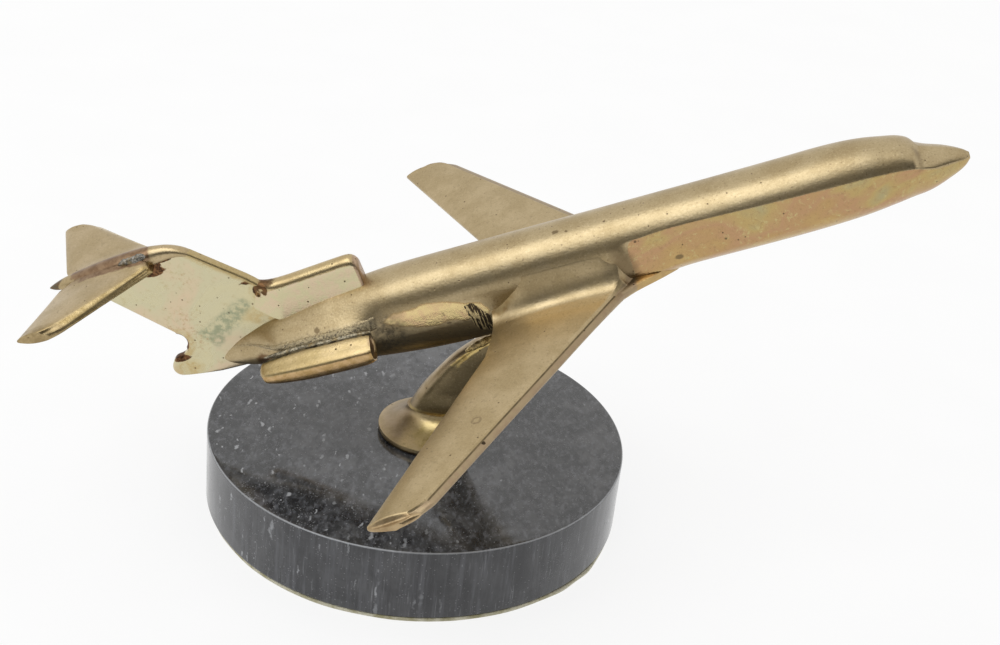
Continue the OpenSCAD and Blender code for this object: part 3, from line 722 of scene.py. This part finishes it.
# ---- fin and centre intake
FIN_HALF = 1.5
NOTCH, NOTCH_R = (-103.2, 6.9), 2.9
SCORCHED = (-75.5, 16)  # the spot between fin and intake
PLUG = (-76.4, 15)
STUB = [(-101.5, 3.6), (-103.2, 2.7), (-105.4, 2.3), (-107, 0.8), (-107.6, -1), (-107, -2.6),
        (-105.2, -3.6), (-100, -4.5), (-95, -5.1)]


def fin_outline():
    bite = [math.radians(d) for d in range(68, -56, -9)]
    notch = [(NOTCH[0] + NOTCH_R * math.cos(b), NOTCH[1] + NOTCH_R * math.sin(b)) for b in bite]
    s = np.linspace(0, len(STUB) - 1, 33)
    stub_x, stub_z = columns([(k, *p) for k, p in enumerate(STUB)])
    stub = [(float(curve(t, stub_x)), float(curve(t, stub_z))) for t in s]
    front = [(-72.5, 15.0), (-75.2, 17.9), (-76.2, 19.2), (-77.6, 20.8), (-88.6, 31.9),
             (-90.2, 33.0), (-92.4, 33.6)]
    rear, low = [(-119.4, 30.9), (-112, 21.9), (-102.3, 10.2)], [(-84, -5.3), (-76, -1), (-72.5, 4)]
    return front + rear + notch + stub + low


def plate(outline, half, rounding, step):
    """A plate in the XZ plane with rounded edges, cut into faces no longer than step."""
    bm = bmesh.new()
    face = bm.faces.new([bm.verts.new((x, -half, z)) for x, z in outline])
    made = bmesh.ops.extrude_face_region(bm, geom=[face])["geom"]
    moved = [v for v in made if isinstance(v, bmesh.types.BMVert)]
    bmesh.ops.translate(bm, vec=(0, 2 * half, 0), verts=moved)
    bmesh.ops.recalc_face_normals(bm, faces=bm.faces[:])
    rims = [e for e in bm.edges if abs(e.verts[0].co.y - e.verts[1].co.y) < 1e-6]
    bmesh.ops.bevel(bm, geom=rims, offset=rounding, segments=4, profile=0.5, affect="EDGES",
                    clamp_overlap=True)
    bmesh.ops.triangulate(bm, faces=bm.faces[:])
    corners = np.array([v.co for v in bm.verts])
    for axis in (0, 2):
        normal = Vector((axis == 0, 0, axis == 2))
        for at in np.arange(corners[:, axis].min() + step / 2, corners[:, axis].max(), step):
            bmesh.ops.bisect_plane(bm, geom=bm.verts[:] + bm.edges[:] + bm.faces[:],
                                   plane_co=normal * at, plane_no=normal)
    bm.verts.index_update()
    points = np.array([v.co for v in bm.verts])
    faces = [tuple(v.index for v in f.verts) for f in bm.faces]
    bm.free()
    return points, faces


def make_fin():
    points, faces = plate(fin_outline(), FIN_HALF, 1.25, 1.1)
    x, y, z = points.T
    # the plate was dished a little by filing
    dish = 0.22 * smooth(inside(x, z, fin_outline()) / 6)
    points[:, 1] -= np.sign(y) * dish
    flat = points[:, [0, 2]]
    spot = np.hypot(x - SCORCHED[0], z - SCORCHED[1])
    notch = np.abs(np.hypot(x - NOTCH[0], z - NOTCH[1]) - NOTCH_R)
    # along the green streak and across it
    along = (x + 80) * -0.86 + (z - 14) * -0.51
    across = (x + 80) * 0.51 - (z - 14) * 0.86
    fields = {
        "stain": np.maximum.reduce([
            np.minimum(2.0 - spot, spot - 1.1) * 0.7, 0.55 - spot,
            0.75 - np.hypot((x + 76.5) * 0.22, z - 19.3),
            1.6 * near(flat, (-99.5, 29.5), (3.4, 1.5)),
            1.5 * near(flat, (-96.5, 32.4), (4.5, 1.0)),
            0.45 - notch,
            1.2 * near(flat, (-103.5, 2.0), (2.6, 0.9))]),
        "warm": np.maximum.reduce([
            3.0 - spot, 2.2 - notch,
            1.4 * near(flat, (-103.5, -1.5), (4, 2.6)),
            2.0 * near(flat, (-72, 9), (11, 3.5)),
            0.8 - np.abs((x + 82.9) * 0.71 + (z - 25) * 0.71)]),
        "green": np.minimum(1.9 + 0.1 * along - np.abs(across), np.minimum(along, 17 - along)),
        "rust": np.maximum(2 * near(flat, (-99, 9), (6, 7)),
                           0.8 * near(flat, (-94, 25), (4, 3))),
        "edge": np.where((z > 17) & (x > -92.6), 1.0 - inside(x, z, fin_outline()), -1),
    }
    piece("fin_plate", (points, faces), fin_material(), ["tail_fin"], fields, 45)


INTAKE_TOP = [(-79, 21.2), (-77.4, 19.7), (-75.5, 18.3), (-73, 17.5), (-69, 17.4), (-62, 17.9),
              (-54, 18.5), (-51, 18.6), (-49.6, 18.1), (-48.8, 16.9)]


def make_intake():
    """Fairing of the centre engine: a slab with a rounded back that swells out of the fin."""
    x = np.concatenate([np.linspace(-79, -51.4, 70), [-50.6, -49.9, -49.3, -48.95, -48.8]])
    a = np.linspace(0, math.pi, 25)
    rings = []
    for at in x:
        half = mix(1.2, 2.5, smooth((at + 79) / 8))
        close = math.sqrt(max(0.0, 1 - max(0, (at + 50.6) / 1.8) ** 2))
        half *= mix(0.82, 1, close)
        top = curve(at, INTAKE_TOP)
        edge_z = top - half * 0.95
        arch = np.stack([np.full(len(a), at), half * np.cos(a),
                         edge_z + half * 0.95 * np.sin(a)], 1)
        wall = np.array([[at, -half * k, edge_z - d] for d, k in
                         ((1.2, 1.0), (3, 1.0), (5, 1.02), (7, 1.05), (9, 1.1))])
        other = wall[::-1] * [1, -1, 1]
        rings.append(np.vstack([arch, wall, other]))
    points, faces = skin(np.array(rings))
    x, y, z = points.T
    flank = 17.0 + 0.06 * (x + 73) - 1.4 - z
    spot = np.hypot(x - SCORCHED[0], z - SCORCHED[1])
    fields = {
        "flank": np.minimum(flank, -49.6 - x),
        "front": x + 49.6,
        "brown": np.maximum(np.minimum(2.0 - spot, spot - 0.7), 0.5 - spot),
        "soot": 0.8 - np.hypot((x + 75.5) * 0.2, z - 17.4),
    }
    patches = (
        ("flank", 0.35, 0.15, PALE, PALE_PINK, 0.26),
        ("front", 0.2, 0.15, (0.5, 0.36, 0.25), (0.42, 0.3, 0.19), 0.36),
        ("soot", 0.7, 0.3, BROWN_STAIN_AND_SHADE, DARK_STAIN_AND_SHADE, 0.4),
        ("brown", 0.5, 0.15, DARK_STAIN_AND_SHADE, BROWN_STAIN_AND_SHADE, 0.45),
    )
    material = brass("brass_intake", (0.55, 0.43, 0.23), (0.46, 0.34, 0.17), 0.28, patches, 0.6)
    piece("centre_intake_fairing", (points, faces), material, ["centre_intake"],
          fields, 45)


def make_fin_pin():
    """The small plug in the scorched spot: a domed head on each side of the plate."""
    profile = [(-1.75, 0.05), (-1.72, 0.45), (-1.55, 0.75), (-1.3, 0.86), (1.3, 0.86),
               (1.55, 0.75), (1.72, 0.45), (1.75, 0.05)]
    a = angles(28)
    rings = np.array([np.stack([PLUG[0] + r * np.sin(a), np.full(len(a), y),
                                PLUG[1] + r * np.cos(a)], 1) for y, r in profile])
    points, faces = skin(rings)
    away = np.hypot(points[:, 0] - PLUG[0], points[:, 2] - PLUG[1])
    hole = ("hole", 0.05, 0.1, BLACK_STAIN, DARK_STAIN_AND_SHADE, 0.6)
    material = brass("brass_pin", (0.3, 0.17, 0.06), BROWN_STAIN_AND_SHADE, 0.4, (hole,), 0.9)
    piece("fin_plug", (points, faces), material, ["fin_pin"],
          {"hole": 0.3 - away})


# ---- tailplane
TAIL_HALF, TAIL_LE, TAIL_TE = 25.4, -94.4, -121.4
TAIL_SWEEP = math.radians(46.2)
# the bullet fairing: (x, top, underside, half its width)
BULLET = [(-127.6, 32.3, 31.9, 0.3), (-126, 32.9, 31.3, 1.2), (-123, 33.7, 30.8, 2),
          (-118, 34.5, 30.4, 2.7), (-110, 35.5, 30.4, 3), (-101, 36, 30.6, 2.7),
          (-95, 35.4, 31.2, 2.1), (-92, 34.4, 31.2, 1.8), (-89.5, 32.8, 30.6, 1.55),
          (-87.5, 30.7, 30.2, 0.9)]
BULLET_TOP, BULLET_LOW, BULLET_HALF = columns(BULLET)
BULLET_END, BULLET_LEN = -127.6, 40.1


def tail_section(y):
    h = abs(y)
    blunt = 1.2 * max(0, min(1, (h - TAIL_HALF + 2) / 2)) ** 2
    le = min(-99, TAIL_LE - math.tan(TAIL_SWEEP) * h) - blunt
    te = TAIL_TE - 0.29 * h + 0.9 * float(smooth((5 - h) / 5))
    z, t, lip = 32.5 + 0.055 * h, mix(2.3, 2.2, h / TAIL_HALF), 1.3 * h / TAIL_HALF
    corners = [(te, z + 0.2), (mix(te, le, 0.3), z + 0.9), (mix(te, le, 0.6), z + 1),
               (mix(te, le, 0.85), z + 0.8), (le - 0.2, z + 0.1), (le + lip, z - 0.9),
               (le + lip - 0.5, z + 0.2 - t), (mix(te, le, 0.5), z + 0.3 - t), (te, z - 0.7)]
    return [(x, y, v) for x, v in corners]


def make_tailplane():
    span = TAIL_HALF * np.sin(np.linspace(-math.pi / 2, math.pi / 2, 131))
    rings = closed_spline(np.array([tail_section(y) for y in span]), 72)
    x, y, z = rings[..., 0], rings[..., 1], rings[..., 2]
    # the upper skin sweeps up into the spine
    upper = smooth((z - (32.2 + 0.055 * np.abs(y))) / 1.0)
    spine = curve(x, BULLET_TOP) - 0.5
    rings[..., 2] = z + np.maximum(spine - z, 0) * upper * np.exp(-((y / 3.6) ** 2)) * 0.9
    flat = skin(rings)
    x = BULLET_END + BULLET_LEN * (1 - np.cos(np.linspace(0, math.pi, 80))) / 2
    a = angles(48)
    hi, lo, half = curve(x, BULLET_TOP), curve(x, BULLET_LOW), curve(x, BULLET_HALF)
    bullet = np.stack([np.repeat(x[:, None], len(a), 1), half[:, None] * np.cos(a),
                       ((hi + lo) / 2)[:, None] + ((hi - lo) / 2)[:, None] * np.sin(a)], -1)
    points, faces = join(flat, skin(bullet))
    points[:, 2] += 0.05 * lumps(points, 5, 5)
    x, y, z = points.T
    h = np.abs(y)
    front = np.minimum(-99, TAIL_LE - math.tan(TAIL_SWEEP) * h)
    fields = {
        "patina": np.minimum(np.minimum(3.4 - np.abs(y + 0.9), z - 33.3),
                             np.minimum(-98 - x, x + 121)) - 0.2,
        "lip": np.where(h > 4, x - front + 0.9, -2),
        "tip_marks": np.where(y < 0, np.minimum(h - 22.4, 3) - 0.04 * (x + 126), -3),
        # painted shade: the bullet's rear end is darkened for the shade inside its hollow
        "end": -123.4 - x - 0.8 * h,
    }
    patches = (
        ("patina", 0.8, 0.35, (0.21, 0.13, 0.075), (0.3, 0.2, 0.12), 0.33),
        ("lip", 0.4, 0.4, (0.56, 0.43, 0.22), (0.42, 0.31, 0.14), 0.27),
        ("tip_marks", 0.7, 0.5, (0.42, 0.32, 0.17), (0.3, 0.22, 0.11), 0.33),
        # painted shade at the bullet's hollow end
        ("end", 0.4, 0.3, (0.14, 0.12, 0.08), BROWN_STAIN_AND_SHADE, 0.4),
    )
    material = brass("brass_tailplane", (0.5, 0.39, 0.23), (0.43, 0.33, 0.18), 0.33, patches)
    piece("tailplane_casting", (points, faces), material, ["tailplane"], fields, 40)


# ---- nacelles
NACELLE_Y, NACELLE_Z, NACELLE_R = 13.8, -0.9, 4.3
NACELLE_SHAPE = [(4.35, -0.2), (3.85, 1.2), (1.7, 2.45), (-0.7, 3.45), (-3.0, 2.7), (-3.9, -0.4),
                 (-3.2, -2.8), (-1.0, -4.15), (2.0, -3.95), (4.05, -2.3)]
NACELLE_SIZE = [(-80.2, 0.3), (-79.5, 0.58), (-78, 0.72), (-74, 0.86), (-68, 0.97), (-60, 1),
                (-54, 0.98), (-51, 0.92), (-49.9, 0.84)]


def make_nacelle(word, side):
    name = word + "_nacelle_casting"
    tail = -80.2 + 1.4 * np.linspace(0, 1, 14) ** 1.6
    x = np.concatenate([tail, np.linspace(-78.5, -51.2, 70), np.linspace(-51, -49.9, 8)])
    size = NACELLE_R * curve(x, NACELLE_SIZE)
    # the mouth turns in over a rim to a face set a little back
    x = np.concatenate([x, [-49.86, -49.9, -50.05, -50.35, -50.45]])
    size = np.concatenate([size, np.array([0.8, 0.7, 0.62, 0.56, 0.3]) * NACELLE_R])
    section = closed_spline(np.array([[(0, *p) for p in NACELLE_SHAPE]]), 96)[0]
    grown = section[None] * (size / NACELLE_R)[:, None, None]
    rings = np.stack([x[:, None] + 0 * grown[..., 0], side * (NACELLE_Y + grown[..., 1]),
                      NACELLE_Z - 0.014 * (x[:, None] + 65) + grown[..., 2]], -1)
    points, faces = skin(rings)
    points += 0.05 * lumps(points, 4, 3 + side)[:, None] * np.array([0, 0, 1])
    x, y, z = points.T
    fields = {
        "mouth": 2.5 - np.hypot(np.abs(y) - NACELLE_Y, z - NACELLE_Z) - 9 * (x < -50.5),
        "speckle": np.minimum(NACELLE_Z + 0.7 + 0.01 * (x + 65) - z, np.abs(y) - 13.2),
        "grime": 3.0 - np.hypot(np.abs(y) - 10.2, z - 2.2),
    }
    patches = (
        ("speckle", 0.6, 0.25, (0.6, 0.41, 0.21), (0.44, 0.29, 0.12), 0.32),
        ("grime", 0.6, 0.2, (0.3, 0.26, 0.18), BLACK_STAIN, 0.45),
        ("mouth", 0.3, 0.4, (0.38, 0.27, 0.16), (0.32, 0.2, 0.11), 0.38),
    )
    material = brass("brass_" + name, (0.5, 0.38, 0.2), (0.4, 0.3, 0.14), 0.3, patches, 0.7)
    piece(name, (points, faces), material, [word + "_nacelle"], fields, 42)


# ---- beads of filler
def bead(path, radius, lump, seed, around=28):
    """A crusty bead along a path: (points, faces)."""
    path = np.array(path, float)
    i = np.arange(len(path))
    size = radius * np.maximum(0.02, np.sin(np.pi * i / (len(path) - 1))) ** 0.35
    a = angles(around)
    rings = path[:, None, :] + size[:, None, None] * np.stack(
        [0 * a, np.cos(a), np.sin(a)], -1)[None]
    points, faces = skin(rings)
    middle = np.vstack([np.repeat(path, around, 0), path[0], path[-1]])
    swell = 1 + lump * (lumps(points, 1.7, seed) + 0.5 * lumps(points, 0.7, seed + 1)) - lump * 0.4
    return middle + (points - middle) * swell[:, None], faces


def make_solder():
    beads = []
    for side in (-1, 1):
        x = np.linspace(-79, -49.5, 70)
        path = np.stack([x, side * (12.0 + 0.05 * (x + 51.5)), 2.2 + 0.02 * (x + 51.5)], 1)
        beads.append(bead(path, 0.95, 0.3, 7 + side))
    material = solder_material("solder_grey", (0.52, 0.46, 0.33), (0.17, 0.15, 0.11), 0.36)
    piece("nacelle_solder_beads", join(*beads), material, ["nacelle_solder"], None, 180)


def make_tail_filler():
    x = np.linspace(-106.6, -98.6, 30)
    path = np.stack([x, -1.7 + 0.12 * (x + 100), np.full(30, 34.5)], 1)
    material = solder_material("filler_tail", (0.4, 0.38, 0.34), (0.13, 0.12, 0.1), 0.32)
    piece("tailplane_filler", bead(path, 1.35, 0.3, 11), material, ["tailplane_braze"],
          None, 180)


# ---- stand
# the stem's rear and front edges: (height, rear, front)
STEM_REAR, STEM_FRONT = columns([(8, -6.6, 9.6), (14, -3.9, 12.4), (20, -0.2, 15.6),
                                 (26, 4.1, 19.2), (31, 9.1, 22.8), (35, 15, 26), (38, 20, 29)])
FOOT_H, STEM_TOP = 8.0, 41.0


def make_stem():
    h = np.linspace(FOOT_H, STEM_TOP, 84)[:, None]
    a = angles(96)[None, :]
    rear, front = curve(h, STEM_REAR), curve(h, STEM_FRONT)
    side = math.tan(BANK) * (h - 4) * -0.93
    half = mix(4.9, 3.6, smooth((h - FOOT_H) / 16)) + 1.6 * smooth((h - 30) / 10)
    u = 0.5 + 0.5 * signed_pow(np.cos(a), 0.9)
    v = signed_pow(np.sin(a), 0.8)
    # a shallow hollow between the rounded edges
    hollow = smooth((u - 0.08) / 0.1) * smooth((0.93 - u) / 0.08) * smooth((h - 10) / 5)
    v = v * (1 - 0.12 * hollow)
    rings = np.stack([FOOT_X + mix(rear, front, u), side + half * v,
                      TOP_Z + RIM_GAP + h + 0 * a], -1)
    points, faces = skin(rings)
    flat_u = np.append(np.broadcast_to(u, rings.shape[:2]).ravel(), [0.5, 0.5])
    height = points[:, 2] - TOP_Z
    fields = {
        "rear_strip": (0.09 - flat_u) * 14,
        # painted highlight: brighter gold up the rear of the stem near its top
        "painted_highlight": np.minimum(0.9 - np.abs(flat_u - 0.16) * 14, (height - 24) * 0.25),
        "seam": 0.55 - np.abs(height - FOOT_H - 0.35),
    }
    patches = (
        ("rear_strip", 0.35, 0.5, (0.42, 0.33, 0.21), (0.34, 0.26, 0.15), 0.38),
        # painted highlight near the top of the stem
        ("painted_highlight", 0.7, 0.35, (0.62, 0.47, 0.19), (0.42, 0.29, 0.1), 0.28),
        ("seam", 0.2, 0.3, (0.6, 0.47, 0.22), (0.46, 0.33, 0.15), 0.3),
    )
    material = brass("brass_stem", (0.27, 0.21, 0.115), (0.2, 0.155, 0.08), 0.44, patches)
    piece("stem_blade", (points, faces), material, ["stem"], fields, 50,
          STANDING)


def make_stem_braze():
    h = np.linspace(29, 38.4, 36)
    path = np.stack([FOOT_X + curve(h, STEM_REAR) + 0.4, math.tan(BANK) * (4 - h) * 0.93 - 2.4,
                     TOP_Z + h], 1)
    material = solder_material("braze_gold", (0.66, 0.5, 0.22), (0.34, 0.23, 0.09), 0.26)
    piece("stem_braze_bead", bead(path, 1.5, 0.3, 13), material, ["stem_braze"], None,
          180, STANDING)


def make_foot():
    """A round rim that flares up into an oval collar under the stem."""
    rise = np.concatenate([[0, 0.05, 0.2, 0.45, 0.8, 1.2, 1.6], np.linspace(1.9, FOOT_H, 56)])
    tuck = np.concatenate([[1.2, 0.7, 0.36, 0.15, 0.04, 0, 0], np.zeros(56)])
    a = angles(144)
    f = np.clip(1 - (rise - 2) / (FOOT_H - 2), 0, 1) ** 2.1
    rings = np.stack([
        FOOT_X + 1.6 * (1 - f)[:, None] + (mix(8.8, FOOT_R, f) - tuck)[:, None] * np.cos(a),
        (mix(5.6, FOOT_R, f) - tuck)[:, None] * np.sin(a),
        np.repeat((TOP_Z + RIM_GAP + rise)[:, None], len(a), 1)], -1)
    # blind hole for the stud, closing the underside
    stud_r = 3.0
    hole = [np.stack([FOOT_X + stud_r * np.cos(a), stud_r * np.sin(a),
                      np.full(len(a), TOP_Z + RIM_GAP + z)], -1) for z in (6.0, 0.0)]
    points, faces = skin(np.concatenate([np.array(hole), rings]))
    x, y, z = points.T
    height = z - TOP_Z
    fields = {
        "back": np.minimum(-x + FOOT_X - 3.5 + 0.4 * y, height - 1.6) * 0.6,
        # painted highlight: a bright patch on the front of the flare
        "painted_highlight": 2 * near(points, (FOOT_X + 3, -9, TOP_Z + 3.5), (7, 6, 4)),
        # painted shade: the bottom of the rim is darkened where it sits over the marble
        "edge": 1.1 - height,
    }
    patches = (
        ("back", 0.5, 1.2, (0.34, 0.26, 0.17), (0.29, 0.22, 0.13), 0.4),
        # painted highlight on the front of the flare
        ("painted_highlight", 0.5, 0.5, (0.76, 0.6, 0.29), (0.58, 0.44, 0.18), 0.36),
        # painted shade on the rim's bottom edge
        ("edge", 0.3, 0.3, (0.2, 0.14, 0.07), DARK_STAIN_AND_SHADE, 0.45),
    )
    material = brass("brass_foot", (0.68, 0.53, 0.29), (0.56, 0.43, 0.22), 0.42, patches, 0.6)
    piece("foot_flange", (points, faces), material, ["foot"], fields, 50,
          STANDING)


# ---- base
def circle_ring(radius, z, x=0.0, count=288):
    a = angles(count)
    return np.stack([x + radius * np.cos(a), radius * np.sin(a), np.full(count, z)], 1)


def make_marble():
    """The disc with its polished arrises, the stud's hole and the counterbore under it."""
    bore_r, counterbore_r, counterbore_h, arris = 3.07, 11.5, 9.0, 0.45
    seat = CARD_T + counterbore_h
    bend = np.linspace(0, math.pi / 2, 6)
    rings = [circle_ring(bore_r, TOP_Z, FOOT_X)]
    rings += [circle_ring(r, TOP_Z) for r in (BASE_R - 6, BASE_R - 1)]
    rings += [circle_ring(BASE_R - arris * (1 - math.sin(b)), TOP_Z - arris * (1 - math.cos(b)))
              for b in bend]
    rings += [circle_ring(BASE_R, z) for z in np.linspace(TOP_Z - 0.7, CARD_T + 0.7, 5)]
    rings += [circle_ring(BASE_R - arris * (1 - math.cos(b)), CARD_T + arris * (1 - math.sin(b)))
              for b in bend]
    rings += [circle_ring(counterbore_r, CARD_T, FOOT_X), circle_ring(counterbore_r, seat, FOOT_X),
              circle_ring(bore_r, seat, FOOT_X)]
    points, faces = skin(np.array(rings), loop=True)
    # the arris field marks where the painted highlight along the top edge lies
    rim = np.maximum(BASE_R - np.hypot(points[:, 0], points[:, 1]), TOP_Z - points[:, 2])
    piece("marble_disc", (points, faces), marble_material(), ["marble_base"],
          {"arris": 0.3 - rim}, 30, STANDING, "base")


def make_card():
    """Card under the marble, cut by hand and curling out at the front right."""
    a, centre = angles(360), (0.25, -0.95)
    deg = (np.degrees(a) + 180) % 360 - 180
    wander = 0.28 * lumps(np.stack([9 * np.cos(a), 9 * np.sin(a), 0 * a], 1), 1.6, 4)
    curl = np.exp(-(((deg + 34) / 9) ** 2)) * (1 + 0.5 * np.sin(a * 23))
    edge = BASE_R - 0.8 + wander * 0.7 + 0.6 * curl
    droop = 0.35 * curl
    rings = []
    for inset, z in ((30, 0.0), (3, 0.0), (0.3, 0.0), (0.05, 0.12), (0, 0.35), (0, 0.65),
                     (0.08, 0.88), (0.4, CARD_T), (3, CARD_T), (30, CARD_T)):
        r = edge - inset
        height = z - droop * (z / CARD_T) * math.exp(-inset / 2)
        rings.append(np.stack([centre[0] + r * np.cos(a), centre[1] + r * np.sin(a), height], 1))
    piece("card_underlay", skin(np.array(rings)), card_material(), ["base_card"], None, 60,
          STANDING, "base")


# ---- build the object
SIDES = (("starboard", -1), ("port", 1))
make_fuselage()
for word, side in SIDES:
    make_wing(word, side)
make_fin()
make_intake()
make_fin_pin()
make_tailplane()
for word, side in SIDES:
    make_nacelle(word, side)
make_solder()
make_tail_filler()
make_stem()
make_stem_braze()
make_foot()
make_marble()
make_card()
steel = steel_material()
for hidden in ("stud", "washer", "nut"):
    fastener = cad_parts[hidden]
    fastener.data.materials.clear()
    fastener.data.materials.append(steel)

# ---- studio
camera = bpy.data.cameras.new("camera")
camera.lens, camera.sensor_width = 56.19, 36.0
camera.clip_start, camera.clip_end = 0.01, 50.0
camera_object = bpy.data.objects.new("camera", camera)
camera_object.location = Vector((17.44, -365.9, 249.62)) * MM
camera_object.rotation_euler = [math.radians(d) for d in (62.049, -5.709, 2.725)]
bpy.context.scene.collection.objects.link(camera_object)
bpy.context.scene.camera = camera_object
bpy.context.scene.view_settings.view_transform = "Standard"


FLOOR_R, FLOOR_Z = 12.0, -0.0002  # in metres; a hair under the card


def make_floor():
    g = Graph("floor_pale")
    shade = g.mix(g.patchy(40, 2, 0.5, 0.2, 0.8), 0.125, 0.135)
    colour = g.node("CombineColor", links={0: shade, 1: shade, 2: shade})
    material = g.finish(colour, 0.9, metal=0.0, Emission_Color=(1, 1, 1, 1),
                        Emission_Strength=0.83)
    edge = [(FLOOR_R * math.cos(t), FLOOR_R * math.sin(t), FLOOR_Z) for t in angles(96)]
    mesh = bpy.data.meshes.new("floor")
    mesh.from_pydata(edge, [], [tuple(range(len(edge)))])
    mesh.materials.append(material)
    floor = bpy.data.objects.new("floor", mesh)
    bpy.context.scene.collection.objects.link(floor)


def make_light():
    """A pale wall behind, a darker room on the camera's side, and a softbox."""
    g = Graph("studio", None, "worlds")
    bpy.context.scene.world = g.owner
    way = g.node("SeparateXYZ", links={0: g.node("TexCoord", out="Generated")}).node.outputs
    left = g.math("SUBTRACT", g.math("MAXIMUM", way["X"], 0.0), way["X"])
    side = g.node("Math", props={"operation": "MULTIPLY_ADD"}, links={
        0: left, 1: 0.48, 2: way["Y"]})
    room = g.mask(side, -0.5, 0.0, 0.13, 0.93)
    bright = g.mix(g.mask(way["Z"], 0.66, 0.9), room, 0.95)
    shown = g.mix(g.node("LightPath", out="Is Camera Ray"), bright, 0.95)
    sky = g.node("Background", links={"Color": (1, 0.995, 0.985, 1), "Strength": shown})
    out = g.tree.nodes.new("ShaderNodeOutputWorld")
    g.tree.links.new(sky, out.inputs["Surface"])
    # one large round softbox, high on the camera's left
    lamp = bpy.data.lights.new("softbox", "AREA")
    lamp.shape, lamp.size, lamp.energy = "DISK", 0.9, 3.3
    lamp.color = (0.97, 1.0, 1.03)
    box = bpy.data.objects.new("softbox", lamp)
    toward = Vector((-0.42, -0.39, 0.81)).normalized()
    box.location = AIRBORNE.translation + toward
    box.rotation_euler = toward.to_track_quat("Z", "Y").to_euler()
    bpy.context.scene.collection.objects.link(box)


make_floor()
make_light()
